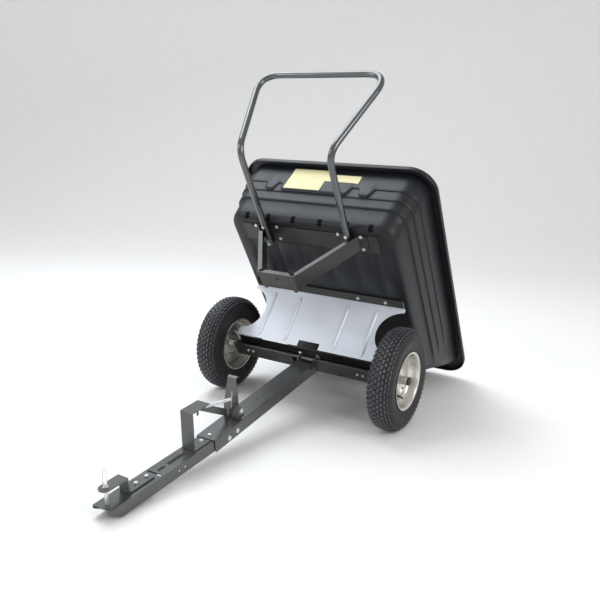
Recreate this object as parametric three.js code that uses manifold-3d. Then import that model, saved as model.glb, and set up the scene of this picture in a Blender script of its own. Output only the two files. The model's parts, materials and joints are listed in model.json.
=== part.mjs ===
// Tow-behind dump cart: a moulded tub on a tilting steel frame, two pneumatic wheels on one axle,
// a two-piece channel tongue with a pin hitch, a spring latch, and a push handle on the tub.
// Millimetres, +Z up, +X to the right when seen from the hitch, +Y to the rear.
// The tub stands tipped, as it does when the load has been dumped.
import * as THREE from 'three';
import { mergeVertices } from 'three/addons/utils/BufferGeometryUtils.js';
import Module from 'manifold-3d';

// ---- driving dimensions -------------------------------------------------------------------
const GAP = 0.3; // clearance between touching pieces
const SHEET = 3; // steel sheet of the frame
const WHEEL_RADIUS = 200; // 16 x 4.80-8 tyre
const HALF_TRACK = 395;
const TYRE_HALF_WIDTH = 48;
const AXLE_RADIUS = 9.5;
const AXLE_HALF_LENGTH = 443;
const TUB_TILT = 55.84; // degrees that the tub is tipped back from level
const ORIGIN_TO_AXLE = 184.6; // the origin is under the middle of the cart, ahead of the axle

const TONGUE = {
  rearSlope: 9.55, rearTop: -1, rearWidth: 80, rearHeight: 44, rearStart: -673, rearStop: -30,
  frontSlope: 5.56, frontTop: -51.65, frontWidth: 71, frontHeight: 40.2, frontStart: -1133,
  frontStop: -560, earRadius: 21, noseHeight: 12, noseRun: 44,
};
const HITCH = {
  width: 40, thickness: 5, footStart: -1042, footStop: -939, rise: 50, nose: -1133, pin: -1111,
  bolts: [-952, -997],
};
const JOINT = { sideBolts: [[-600, -29], [-553, -25]], topBolt: -652, topBoltFront: -650 };
const LATCH = {
  pivot: -513, postWidth: 37, footWidth: 64, postHeight: 156, pivotHeight: 30, hookTip: -480, bolt: -497,
};
const TUB = {
  floor: 249.6, rim: 541, wall: 5, halfWidth: 434, front: -594, rear: 557, lipDepth: 24,
};
const FOOT = { start: -759.5, stop: -678, rise: 137, reach: 88, width: 51, thickness: 4, bolt: -694 };
const BRACKET = { middle: -441.6, width: 80, halfLength: 300, face: 246.5 };
const BRACE = {
  front: -478, back: -413, flange: 17, plateLevel: -9, plateHalf: 78, footInner: 222, footOuter: 258,
};
const STRIP = { front: -168, back: -129, halfLength: 345 };
const PANEL = {
  halfWidth: 352, top: 243.2, bottom: 13, topY: -127, bottomY: -55, notchHalf: 49, notchTop: 39,
  archX: 362, archHeight: 127, archRadius: 98, lowerEar: 348, lowerEarTop: 30, upperEarLow: 226,
};
const BEAM = { front: -51, back: 16, top: 12.5, bottom: -37, halfLength: 338 };
const HANDLE = {
  radius: 12.5, wall: 1.6, lowX: 184, lowY: -396, lowZ: 233.6, bendX: 188, bendY: -831, bendZ: 249,
};
const GRIP = { x: 278, y: -923.5, z: 623, cornerRadius: 75 };
const BOLT_COLUMNS = [137, 234]; // bolts of the front bracket, left and right of the middle
const BOLT_ROWS = [-478, -420];
const PANEL_BOLTS = [148, 270];
const HANDLE_BOLTS = [-489, -406];
const BOLT_HOLE = 3.4; // hole radius for the 6 mm bolts

// ---- materials ----------------------------------------------------------------------------
function paint(color, roughness, metalness) {
  return new THREE.MeshStandardMaterial({ color, roughness, metalness });
}
const moulding = paint(0x26282b, 0.55, 0);
const greySteel = paint(0x6d6f6c, 0.45, 0.6);
const silverSteel = paint(0xc6cdd6, 0.4, 0.5);
const handleSteel = paint(0xa9afb5, 0.38, 0.7);
const zinc = paint(0xd5d9dc, 0.3, 0.9);
const rimSteel = paint(0xb9bdbc, 0.35, 0.85);
const rubber = paint(0x1f2022, 0.85, 0);

// ---- joining and cutting ------------------------------------------------------------------
const wasm = await Module();
wasm.setup();

function solidOf(geometry) {
  const bare = geometry.clone();
  bare.deleteAttribute('normal');
  bare.deleteAttribute('uv');
  const merged = mergeVertices(bare, 1e-4);
  const vertProperties = new Float32Array(merged.attributes.position.array);
  const triVerts = new Uint32Array(merged.index.array);
  return new wasm.Manifold(new wasm.Mesh({ numProp: 3, vertProperties, triVerts }));
}

function geometryOf(solid) {
  const mesh = solid.getMesh();
  const geometry = new THREE.BufferGeometry();
  geometry.setAttribute('position', new THREE.BufferAttribute(new Float32Array(mesh.vertProperties), 3));
  geometry.setIndex(new THREE.BufferAttribute(new Uint32Array(mesh.triVerts), 1));
  geometry.computeVertexNormals();
  return geometry;
}

function join(first, ...others) {
  return geometryOf(others.reduce((sum, other) => sum.add(solidOf(other)), solidOf(first)));
}

function cut(first, ...cutters) {
  return geometryOf(cutters.reduce((rest, cutter) => rest.subtract(solidOf(cutter)), solidOf(first)));
}

// ---- basic shapes -------------------------------------------------------------------------
function box(x0, x1, y0, y1, z0, z1) {
  const geometry = new THREE.BoxGeometry(x1 - x0, y1 - y0, z1 - z0);
  return geometry.translate((x0 + x1) / 2, (y0 + y1) / 2, (z0 + z1) / 2);
}

// A round bar between two points.
function bar(radius, from, to, sides = 12) {
  const start = new THREE.Vector3(...from);
  const along = new THREE.Vector3(...to).sub(start);
  const geometry = new THREE.CylinderGeometry(radius, radius, along.length(), sides);
  const turn = new THREE.Quaternion();
  turn.setFromUnitVectors(new THREE.Vector3(0, 1, 0), along.clone().normalize());
  return geometry.applyQuaternion(turn).translate(...start.addScaledVector(along, 0.5).toArray());
}

function shapeOf(points) {
  return new THREE.Shape(points.map(([a, b]) => new THREE.Vector2(a, b)));
}

// An outline in the Y-Z plane, given thickness along X.
function sideSlab(points, x0, x1) {
  const geometry = new THREE.ExtrudeGeometry(shapeOf(points), { depth: x1 - x0, bevelEnabled: false });
  const turn = new THREE.Matrix4().makeBasis(
    new THREE.Vector3(0, 1, 0), new THREE.Vector3(0, 0, 1), new THREE.Vector3(1, 0, 0));
  return geometry.applyMatrix4(turn).translate(x0, 0, 0);
}

// An outline in the X-Z plane, given thickness along Y.
function frontSlab(points, y0, y1) {
  const geometry = new THREE.ExtrudeGeometry(shapeOf(points), { depth: y1 - y0, bevelEnabled: false });
  return geometry.rotateX(Math.PI / 2).translate(0, y1, 0);
}

// An outline in the X-Y plane, given thickness along Z.
function flatSlab(points, z0, z1) {
  const geometry = new THREE.ExtrudeGeometry(shapeOf(points), { depth: z1 - z0, bevelEnabled: false });
  return geometry.translate(0, 0, z0);
}

// The closed outline of a sheet folded along a line; the sheet lies to the left of the line.
function foldedSheet(line, thickness) {
  const points = line.map(([a, b]) => new THREE.Vector2(a, b));
  const normals = points.slice(1).map((point, i) => {
    const along = point.clone().sub(points[i]).normalize();
    return new THREE.Vector2(-along.y, along.x);
  });
  const offset = points.map((point, i) => {
    const before = normals[Math.max(i - 1, 0)];
    const after = normals[Math.min(i, normals.length - 1)];
    const middle = before.clone().add(after).normalize();
    return point.clone().addScaledVector(middle, thickness / middle.dot(after));
  });
  return [...points, ...offset.reverse()].map((point) => [point.x, point.y]);
}

function arcPoints(centre, radius, from, to, steps) {
  return Array.from({ length: steps + 1 }, (_, i) => {
    const angle = THREE.MathUtils.degToRad(from + ((to - from) * i) / steps);
    return [centre[0] + radius * Math.cos(angle), centre[1] + radius * Math.sin(angle)];
  });
}

// A turned piece around the X axis. The profile is a closed list of [x, radius].
function turned(profile, segments) {
  const points = profile.map(([x, radius]) => new THREE.Vector2(radius, x));
  if (THREE.ShapeUtils.area(points) < 0) points.reverse();
  return new THREE.LatheGeometry([...points, points[0]], segments).rotateZ(-Math.PI / 2);
}

// A hexagon bolt with its nut, along +Z: head below z = 0, nut above the grip length.
function bolt(grip, radius = 3) {
  const head = 2 * radius + 0.6;
  const profile = [
    [0, -4.5], [head, -4.5], [head, -GAP], [radius, -GAP], [radius, grip + GAP],
    [head, grip + GAP], [head, grip + 5], [0, grip + 5],
  ];
  return new THREE.LatheGeometry(profile.map(([r, z]) => new THREE.Vector2(r, z)), 6).rotateX(Math.PI / 2);
}

// ---- scene graph --------------------------------------------------------------------------
const cart = new THREE.Group();
const axleLine = new THREE.Group();
axleLine.position.set(0, ORIGIN_TO_AXLE, WHEEL_RADIUS);
cart.add(axleLine);

function tilted(degrees) {
  const group = new THREE.Group();
  group.rotation.x = THREE.MathUtils.degToRad(degrees);
  axleLine.add(group);
  return group;
}
const tongueRear = tilted(TONGUE.rearSlope);
const tongueFront = tilted(TONGUE.frontSlope);
const tubUnit = tilted(-TUB_TILT);

function add(group, name, geometry, material, position = [0, 0, 0]) {
  const mesh = new THREE.Mesh(geometry, material);
  mesh.name = name;
  mesh.position.set(...position);
  group.add(mesh);
  return mesh;
}

function bothSides(place) {
  place(-1, 'left');
  place(1, 'right');
}

// ---- tongue -------------------------------------------------------------------------------
function rearTongue() {
  const t = TONGUE;
  const half = t.rearWidth / 2;
  const top = box(-half, half, t.rearStart, t.rearStop, t.rearTop - SHEET, t.rearTop);
  const side = [
    [t.rearStart, t.rearTop], [t.rearStart, t.rearTop - t.rearHeight], [0, t.rearTop - t.rearHeight],
    ...arcPoints([0, 0], t.earRadius, -60, 140, 8), [t.rearStop, t.rearTop],
  ];
  const channel = join(top, sideSlab(side, -half, SHEET - half), sideSlab(side, half - SHEET, half));
  return cut(
    channel,
    bar(AXLE_RADIUS + GAP, [-half - 5, 0, 0], [half + 5, 0, 0], 20),
    bar(4.5, [0, -374, -20], [0, -374, 10]),
    bar(4, [-half - 5, -279, -32], [half + 5, -279, -32]),
    ...JOINT.sideBolts.map(([y, z]) => bar(4.2, [-half - 5, y, z], [half + 5, y, z])),
    ...[JOINT.topBolt, LATCH.bolt].map((y) => bar(BOLT_HOLE, [0, y, -20], [0, y, 10])),
  );
}

function frontTongue() {
  const t = TONGUE;
  const half = t.frontWidth / 2;
  const side = [
    [t.frontStart, t.frontTop], [t.frontStart, t.frontTop - t.noseHeight],
    [t.frontStart + t.noseRun, t.frontTop - t.frontHeight],
    [t.frontStop, t.frontTop - t.frontHeight + 5],
    [t.frontStop, t.frontTop],
  ];
  const top = box(-half, half, t.frontStart, t.frontStop, t.frontTop - SHEET, t.frontTop);
  const channel = join(top, sideSlab(side, -half, SHEET - half), sideSlab(side, half - SHEET, half));
  const low = t.frontTop - 10;
  const high = t.frontTop + 10;
  const sideHole = (y) => bar(4.5, [-half - 5, y, t.frontTop - 20], [half + 5, y, t.frontTop - 20]);
  return cut(
    channel,
    box(-7, 7, -858, -779, low, high),
    box(-5, 5, -903, -871, low, high),
    box(-28, 28, -923, -915, low, high),
    sideHole(-844), sideHole(-816),
    bar(7, [0, HITCH.pin, low], [0, HITCH.pin, high]),
    ...[...HITCH.bolts, FOOT.bolt].map((y) => bar(BOLT_HOLE, [0, y, low], [0, y, high])),
    bar(4.2, [0, JOINT.topBoltFront, low], [0, JOINT.topBoltFront, high]),
    ...JOINT.sideBolts.map(([y, z]) => {
      const [frontY, frontZ] = rearToFront(y, z);
      return bar(4.2, [-half - 5, frontY, frontZ], [half + 5, frontY, frontZ]);
    }),
  );
}

// A point of the rear tongue's frame, told in the front tongue's frame.
function rearToFront(y, z) {
  const turn = THREE.MathUtils.degToRad(TONGUE.rearSlope - TONGUE.frontSlope);
  return [y * Math.cos(turn) - z * Math.sin(turn), y * Math.sin(turn) + z * Math.cos(turn)];
}

function hitchStrap() {
  const base = TONGUE.frontTop + GAP;
  const line = [
    [HITCH.footStop, base], [HITCH.footStart, base], [HITCH.footStart - 6, base + HITCH.rise],
    [HITCH.nose, base + HITCH.rise],
  ];
  const strap = sideSlab(foldedSheet(line, -HITCH.thickness), -HITCH.width / 2, HITCH.width / 2);
  const high = base + HITCH.rise + 10;
  const nose = HITCH.width / 2;
  const corner = [
    [-nose - 1, HITCH.nose - 1], [nose + 1, HITCH.nose - 1], [nose + 1, HITCH.nose + nose],
    ...arcPoints([0, HITCH.nose + nose], nose, 0, -180, 10), [-nose - 1, HITCH.nose + nose],
  ];
  return cut(
    strap,
    flatSlab(corner, base + 20, high),
    bar(6.8, [0, HITCH.pin, base + 20], [0, HITCH.pin, high]),
    ...HITCH.bolts.map((y) => bar(BOLT_HOLE, [0, y, base - 5], [0, y, base + 10])),
  );
}

add(tongueRear, 'tongue_rear_channel', rearTongue(), greySteel);
add(tongueFront, 'tongue_front_channel', frontTongue(), greySteel);
add(tongueFront, 'hitch_strap', hitchStrap(), greySteel);
HITCH.bolts.forEach((y, i) => {
  const mesh = add(tongueFront, `hitch_bolt_${i + 1}`, bolt(13.6), zinc, [0, y, TONGUE.frontTop + 6.8]);
  mesh.rotation.x = Math.PI;
});
JOINT.sideBolts.forEach(([y, z], i) => {
  const place = [TONGUE.rearWidth / 2, y, z];
  const mesh = add(tongueRear, `tongue_side_bolt_${i + 1}`, bolt(TONGUE.rearWidth, 4), zinc, place);
  mesh.rotation.y = -Math.PI / 2;
});
const topBolt = add(tongueRear, 'tongue_top_bolt', bolt(9.3), zinc, [0, JOINT.topBolt, TONGUE.rearTop]);
topBolt.rotation.x = Math.PI;

// ---- hitch pin with its wire clip ----------------------------------------------------------
function hitchPin() {
  const top = TONGUE.frontTop + HITCH.rise + HITCH.thickness + GAP;
  const profile = [
    [0, TONGUE.frontTop - 24], [4, TONGUE.frontTop - 24], [6.2, TONGUE.frontTop - 20], [6.2, top + GAP],
    [9, top + GAP], [9, top + 3], [6, top + 4], [6, top + 14], [4.5, top + 16], [0, top + 16],
  ];
  const outline = profile.map(([r, z]) => new THREE.Vector2(r, z));
  const pin = new THREE.LatheGeometry(outline, 14).rotateX(Math.PI / 2);
  return cut(pin, bar(1.9, [-12, 0, top + 9], [12, 0, top + 9], 8));
}

// A bent wire: straight runs joined by rounded corners.
function wire(points, radius, bend, sides) {
  return new THREE.ExtrudeGeometry(
    new THREE.Shape(circle(radius, sides)),
    { extrudePath: roundedPath(points, bend), steps: 5 * points.length, bevelEnabled: false });
}

function circle(radius, sides) {
  return Array.from({ length: sides }, (_, i) => {
    const angle = (2 * Math.PI * i) / sides;
    return new THREE.Vector2(radius * Math.cos(angle), radius * Math.sin(angle));
  });
}

function roundedPath(points, bend) {
  const corners = points.map((point) => new THREE.Vector3(...point));
  const path = new THREE.CurvePath();
  let last = corners[0];
  corners.slice(1, -1).forEach((corner, i) => {
    const before = corner.clone().sub(corners[i]);
    const after = corners[i + 2].clone().sub(corner);
    const turn = before.angleTo(after);
    const cutBack = Math.min(bend * Math.tan(turn / 2), before.length() * 0.48, after.length() * 0.48);
    const enter = corner.clone().addScaledVector(before.normalize(), -cutBack);
    const leave = corner.clone().addScaledVector(after.normalize(), cutBack);
    path.add(new THREE.LineCurve3(last, enter));
    path.add(new THREE.QuadraticBezierCurve3(enter, corner, leave));
    last = leave;
  });
  path.add(new THREE.LineCurve3(last, corners[corners.length - 1]));
  return path;
}

const pinTop = TONGUE.frontTop + HITCH.rise + HITCH.thickness + GAP;
add(tongueFront, 'hitch_pin', hitchPin(), zinc, [0, HITCH.pin, 0]);
const clipPoints = [[9, 0, 0], [-10, 0, 0], [-9, 0, 34], [-6, 0, 48], [6, 0, 48], [8, 0, 34], [8, 0, 8]];
add(tongueFront, 'hitch_pin_clip', wire(clipPoints, 1.5, 5, 5), zinc, [0, HITCH.pin, pinTop + 9]);

// ---- latch --------------------------------------------------------------------------------
function latchBracket() {
  const base = TONGUE.frontTop + GAP;
  const line = [
    [FOOT.stop, base], [FOOT.start, base], [FOOT.start, base + FOOT.rise],
    [FOOT.start + FOOT.reach, base + FOOT.rise],
  ];
  const strap = sideSlab(foldedSheet(line, -FOOT.thickness), -FOOT.width / 2, FOOT.width / 2);
  return cut(strap, bar(BOLT_HOLE, [0, FOOT.bolt, base - 5], [0, FOOT.bolt, base + 12]));
}

// A flat bar on edge, from under the bracket's top plate down to the foot of the lever.
function latchBrace() {
  const outline = [
    [-690, 89], [-682, 89], [-682, 106], [-551, 18], [-551, 2.7], [-538, 2.7], [-538, 38], [-549, 46],
    [-668, 124], [-690, 125],
  ];
  return sideSlab(outline, -14, -10);
}

function pivotBracket() {
  const base = box(-22, 22, -541, -482, TONGUE.rearTop + GAP, TONGUE.rearTop + GAP + SHEET);
  const ear = [[-521, 0], [-505, 0], ...arcPoints([LATCH.pivot, LATCH.pivotHeight], 8.5, 0, 180, 8)];
  return cut(
    join(base, sideSlab(ear, -22, -19), sideSlab(ear, 19, 22)),
    bar(4.3, [-30, LATCH.pivot, LATCH.pivotHeight], [30, LATCH.pivot, LATCH.pivotHeight]),
    bar(BOLT_HOLE, [0, LATCH.bolt, -10], [0, LATCH.bolt, 10]),
  );
}

// A tapered upright with a slot, two ears on the pivot, a curled top and a hook to the rear.
function latchLever() {
  const lean = THREE.MathUtils.degToRad(-9);
  const foot = LATCH.footWidth / 2;
  const neck = LATCH.postWidth / 2;
  const top = LATCH.postHeight - LATCH.pivotHeight - 14;
  const upright = cut(
    frontSlab([[-foot, -27], [foot, -27], [foot, 12], [neck, top], [-neck, top], [-foot, 12]], -14, -11),
    box(-1.8, 1.8, -20, 0, -22, 45),
    box(-4.5, 4.5, -20, 0, 44, 68),
  );
  const centre = [-3, top - 0.5];
  const curl = [...arcPoints(centre, 11, 180, 40, 6), ...arcPoints(centre, 8, 40, 180, 6)];
  const head = sideSlab(curl, -neck, neck);
  const post = join(upright, head).rotateX(lean).translate(0, LATCH.pivot, LATCH.pivotHeight);
  const ear = [[-528, 14], [-506, 18], [-503, 30], [-508, 42], [-523, 54]];
  const hook = [[-527, 17], [LATCH.hookTip - 8, 17], [LATCH.hookTip, 21], [-527, 21]];
  return cut(
    join(post, sideSlab(ear, -foot, 3 - foot), sideSlab(ear, foot - 3, foot), sideSlab(hook, -15, 15)),
    bar(4.3, [-40, LATCH.pivot, LATCH.pivotHeight], [40, LATCH.pivot, LATCH.pivotHeight]),
  );
}

add(tongueFront, 'latch_bracket', latchBracket(), greySteel);
const footBolt = add(tongueFront, 'latch_bracket_bolt', bolt(SHEET + 4.3), zinc);
footBolt.position.set(0, FOOT.bolt, TONGUE.frontTop + 4.3);
footBolt.rotation.x = Math.PI;
add(tongueRear, 'latch_brace', latchBrace(), greySteel);
add(tongueRear, 'latch_pivot_bracket', pivotBracket(), greySteel);
const pivotBolt = add(tongueRear, 'pivot_bracket_bolt', bolt(2 * SHEET + GAP), zinc);
pivotBolt.position.set(0, LATCH.bolt, TONGUE.rearTop + GAP + SHEET);
pivotBolt.rotation.x = Math.PI;
const pivotPin = add(tongueRear, 'latch_pivot_pin', bolt(LATCH.footWidth + 0.6, 3.9), zinc);
pivotPin.position.set(LATCH.footWidth / 2 + 0.3, LATCH.pivot, LATCH.pivotHeight);
pivotPin.rotation.y = -Math.PI / 2;
add(tongueRear, 'latch_lever', latchLever(), greySteel);
add(tongueRear, 'latch_spring', bar(6, [3, -668, 115], [3, -534, 76.6], 8), zinc);

// ---- axle and its end caps ----------------------------------------------------------------
add(axleLine, 'axle', bar(AXLE_RADIUS, [-AXLE_HALF_LENGTH, 0, 0], [AXLE_HALF_LENGTH, 0, 0], 24), zinc);
bothSides((side, name) => {
  const cap = [[3, 9.9], [3, 16], [8, 16], [12, 12], [12, 0], [9, 0], [9, 9.9]];
  const place = [side * (AXLE_HALF_LENGTH - 8.5), 0, 0];
  const mesh = add(axleLine, `axle_cap_${name}`, turned(cap, 20), zinc, place);
  mesh.rotation.z = side < 0 ? Math.PI : 0;
});

// ---- wheels -------------------------------------------------------------------------------
function tyre() {
  const outside = [
    [37.5, 105.5], [38.6, 110], [42.5, 118], [47, 150], [TYRE_HALF_WIDTH, 168], [42, 188], [28, 196.5],
    [0, WHEEL_RADIUS],
  ];
  const inside = [[0, 191], [36, 176], [38, 150], [30, 105]];
  const mirrored = (points) => points.slice(1).map(([x, r]) => [-x, r]);
  const crown = [...outside, ...mirrored([...outside].reverse())];
  return turned([...crown, ...mirrored(inside).reverse(), ...inside], 36);
}

// One pressed half of the rim, opening towards +X.
function rimHalf() {
  const line = [[43, 113.2], [39, 104.6], [14, 100], [1.6, 86], [1.6, 56], [9, 42], [9, 17]];
  return turned(foldedSheet(line, 2.4), 24);
}

bothSides((side, name) => {
  const wheel = new THREE.Group();
  wheel.position.x = side * HALF_TRACK;
  wheel.rotation.z = side < 0 ? Math.PI : 0;
  axleLine.add(wheel);
  add(wheel, `tyre_${name}`, tyre(), rubber);
  add(wheel, `rim_outer_${name}`, rimHalf(), rimSteel);
  const inner = add(wheel, `rim_inner_${name}`, rimHalf(), rimSteel);
  inner.rotation.z = Math.PI;
  const hub = [[-38, 13], [40, 13], [40, 16.6], [-38, 16.6]];
  add(wheel, `hub_tube_${name}`, turned(hub, 24), rimSteel);
  const bush = [[26, 9.9], [26, 12.7], [40.3, 12.7], [40.3, 16], [42.3, 16], [42.3, 9.9]];
  add(wheel, `bush_outer_${name}`, turned(bush, 20), moulding);
  const back = add(wheel, `bush_inner_${name}`, turned(bush, 20), moulding, [2, 0, 0]);
  back.rotation.z = Math.PI;
  const stem = bar(3.4, [5.4, 0, -66], [26, 0, -72], 8);
  add(wheel, `valve_stem_${name}`, stem, rubber);
});

// ---- tub ----------------------------------------------------------------------------------
// A level ring of the tub: a rectangle with round corners, lengthwise from front to rear.
function ring(z, halfWidth, front, rear, radius) {
  const corner = (x, y, from) => arcPoints([x, y], radius, from, from + 90, 3);
  const x = halfWidth - radius;
  return [
    ...corner(x, rear - radius, 0), ...corner(-x, rear - radius, 90),
    ...corner(-x, front + radius, 180), ...corner(x, front + radius, 270),
  ].map(([px, py]) => [px, py, z]);
}

// A closed skin through a chain of rings, with a flat cap on the first and the last.
function ringSkin(rings) {
  const count = rings[0].length;
  const positions = rings.flat(2);
  const index = [];
  rings.slice(1).forEach((_, row) => {
    for (let i = 0; i < count; i += 1) {
      const a = row * count + i;
      const b = row * count + ((i + 1) % count);
      index.push(a, b, b + count, a, b + count, a + count);
    }
  });
  const last = (rings.length - 1) * count;
  for (let i = 1; i < count - 1; i += 1) {
    index.push(0, i + 1, i, last, last + i, last + i + 1);
  }
  const geometry = new THREE.BufferGeometry();
  geometry.setAttribute('position', new THREE.Float32BufferAttribute(positions, 3));
  geometry.setIndex(index);
  geometry.computeVertexNormals();
  return geometry;
}

// Tub outline at a height above the axle: the sides and the front lean out, the rear is a ramp.
function wallRing(z, inset) {
  const rise = (z - TUB.floor) / (TUB.rim - TUB.floor);
  const halfWidth = 366 + 37 * rise - inset;
  const front = -518 - 48 * rise + inset;
  const rear = 272 + 256 * rise - 1.3 * inset;
  return ring(z, halfWidth, front, rear, 62 + 20 * rise - inset);
}

function tub() {
  const { floor, rim, wall, halfWidth, front, rear, lip, lipDepth } = TUB;
  const rimRing = (z, inset) => ring(z, halfWidth - inset, front + inset, rear - inset, 105 - inset);
  const shell = ringSkin([
    wallRing(floor, 14), wallRing(floor + 6, 4), wallRing(floor + 20, 0), wallRing(rim - wall, 0),
    rimRing(rim - wall, wall), rimRing(rim - lipDepth, wall), rimRing(rim - lipDepth, 0),
    rimRing(rim - 3, 0), rimRing(rim, 3), wallRing(rim, wall), wallRing(floor + 22, wall),
    wallRing(floor + 9, wall + 4), wallRing(floor + wall, wall + 12),
  ]);
  const low = floor - 10;
  return cut(shell, ...floorBolts().map(([x, y]) => bar(BOLT_HOLE, [x, y, low], [x, y, low + 30], 8)));
}

function floorBolts() {
  const places = [];
  bothSides((side) => {
    BOLT_COLUMNS.forEach((x) => BOLT_ROWS.forEach((y) => places.push([side * x, y])));
    HANDLE_BOLTS.forEach((y) => places.push([side * HANDLE.lowX, y]));
    PANEL_BOLTS.forEach((x) => places.push([side * x, STRIP.front + 20]));
  });
  return places;
}
add(tubUnit, 'tub', tub(), moulding);

// ---- front bracket, V brace and handle ------------------------------------------------------
function frontBracket() {
  const { middle, width, halfLength, face } = BRACKET;
  const plate = box(-halfLength, halfLength, middle - width / 2, middle + width / 2, face, TUB.floor - GAP);
  return cut(plate, ...floorBolts().map(([x, y]) => bar(BOLT_HOLE, [x, y, face - 9], [x, y, face + 9], 8)));
}

function vBrace() {
  const { front, back, flange, plateLevel, plateHalf, footInner, footOuter } = BRACE;
  const foot = BRACKET.face - GAP - SHEET;
  const line = [
    [-footOuter, foot], [-footInner, foot], [-plateHalf, plateLevel], [plateHalf, plateLevel],
    [footInner, foot], [footOuter, foot],
  ];
  const web = frontSlab(foldedSheet(line, SHEET), front, back);
  const along = new THREE.Vector2(footInner - plateHalf, foot - plateLevel).normalize();
  const onLeg = (distance, inward) => [
    plateHalf + along.x * distance - along.y * inward, plateLevel + along.y * distance + along.x * inward,
  ];
  const legFlange = [onLeg(4, 1), onLeg(258, 1), onLeg(246, flange), onLeg(14, flange)];
  const plateTop = plateLevel + flange;
  const plateFlange = [[-66, plateLevel + 1], [66, plateLevel + 1], [48, plateTop], [-48, plateTop]];
  const mirrored = legFlange.map(([x, z]) => [-x, z]).reverse();
  const flanges = [front, back - SHEET].flatMap((y) =>
    [legFlange, mirrored, plateFlange].map((outline) => frontSlab(outline, y, y + SHEET)));
  const tabs = [-72, 58].map((x) => box(x, x + 14, back - 1, back + 15, plateLevel, plateLevel + SHEET));
  return cut(
    join(web, ...flanges, ...tabs),
    bar(6, [0, -452, -30], [0, -452, 30]),
    ...floorBolts().map(([x, y]) => bar(BOLT_HOLE, [x, y, foot - 9], [x, y, foot + 9], 8)),
  );
}

function handle() {
  const { radius, lowX, lowY, lowZ, bendX, bendY, bendZ } = HANDLE;
  const half = [[lowX, lowY, lowZ], [lowX, -505, lowZ], [bendX, bendY, bendZ], [GRIP.x, GRIP.y, GRIP.z]];
  const left = half.map(([x, y, z]) => [-x, y, z]);
  const path = roundedPath([...left, ...half.slice().reverse()], GRIP.cornerRadius);
  const section = new THREE.Shape(circle(radius, 8));
  section.holes.push(new THREE.Path(circle(radius - HANDLE.wall, 8).reverse()));
  const tube = new THREE.ExtrudeGeometry(section, { extrudePath: path, steps: 64, bevelEnabled: false });
  const holes = HANDLE_BOLTS.flatMap((y) =>
    [-lowX, lowX].map((x) => bar(BOLT_HOLE, [x, y, lowZ - 20], [x, y, lowZ + 20], 8)));
  return cut(tube, ...holes);
}

add(tubUnit, 'tub_front_bracket', frontBracket(), greySteel);
add(tubUnit, 'v_brace', vBrace(), greySteel);
add(tubUnit, 'push_handle', handle(), handleSteel);

// ---- wheel panel, rear strip and axle beam ---------------------------------------------------
function wheelPanel() {
  const { halfWidth, top, bottom, topY, bottomY, notchHalf, notchTop } = PANEL;
  const lean = Math.atan2(bottomY - topY, top - bottom);
  const length = Math.hypot(bottomY - topY, top - bottom);
  const arch = arcPoints([PANEL.archX, PANEL.archHeight], PANEL.archRadius, 263, 97, 12);
  const notch = (notchTop - bottom) / Math.cos(lean);
  const half = [
    [notchHalf, notch], [notchHalf, 0], [PANEL.lowerEar, 0], [PANEL.lowerEar, PANEL.lowerEarTop], ...arch,
    [halfWidth, PANEL.upperEarLow], [halfWidth, length],
  ];
  const outline = [...half, ...half.slice().reverse().map(([x, t]) => [-x, t])];
  const sheet = flatSlab(outline, -2, 0).rotateX(Math.PI / 2 + lean).translate(0, bottomY, bottom);
  const lip = box(-STRIP.halfLength, STRIP.halfLength, topY - 36, topY + 1.5, top + 3.3, top + 5.3);
  const fold = [
    [topY - 0.3, top - 0.8], [topY + 1.7, top - 0.2], [topY + 1.5, top + 5.3], [topY - 0.5, top + 5.3],
  ];
  const bend = sideSlab(fold, -STRIP.halfLength, STRIP.halfLength);
  const holes = floorBolts().map(([x, y]) => bar(BOLT_HOLE, [x, y, top - 5], [x, y, top + 12], 8));
  return cut(join(sheet, bend, lip), ...holes);
}

function rearStrip() {
  const { front, back, halfLength } = STRIP;
  const face = PANEL.top + 0.1;
  const strip = box(-halfLength, halfLength, front, back, face, face + SHEET - 0.1);
  return cut(strip, ...floorBolts().map(([x, y]) => bar(BOLT_HOLE, [x, y, face - 9], [x, y, face + 9], 8)));
}

function axleBeam() {
  const { front, back, top, bottom, halfLength } = BEAM;
  const line = [[front, bottom], [back, bottom], [back, top], [front, top]];
  const channel = sideSlab(foldedSheet(line, SHEET), -halfLength, halfLength);
  const outer = PANEL.notchHalf;
  const inner = TONGUE.rearWidth / 2 - SHEET - 4;
  const earSlots = [[-outer, -inner], [inner, outer]].flatMap(([left, right]) => [
    box(left, right, front - 5, back + 5, bottom - 5, top - SHEET),
    box(left, right, -24, back + 5, top - SHEET - 1, top + 5),
  ]);
  return cut(channel, box(-outer, outer, front - 5, back - SHEET, bottom - 5, top - SHEET), ...earSlots);
}

function axleBracket() {
  const front = BEAM.front + 8;
  const back = BEAM.back - SHEET - 0.4;
  const bottom = BEAM.bottom + SHEET + 0.4;
  const top = BEAM.top - SHEET - 0.4;
  const outline = [[-24, bottom], [back, bottom], [back, top], [front, top], [front, -6]];
  return cut(sideSlab(outline, -2, 2), bar(AXLE_RADIUS + GAP, [-5, 0, 0], [5, 0, 0], 20));
}

add(tubUnit, 'wheel_panel', wheelPanel(), silverSteel);
add(tubUnit, 'rear_cross_strip', rearStrip(), greySteel);
add(tubUnit, 'axle_beam', axleBeam(), greySteel);
bothSides((side, name) => {
  add(tubUnit, `axle_bracket_${name}`, axleBracket(), greySteel, [side * 325, 0, 0]);
});

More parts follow.
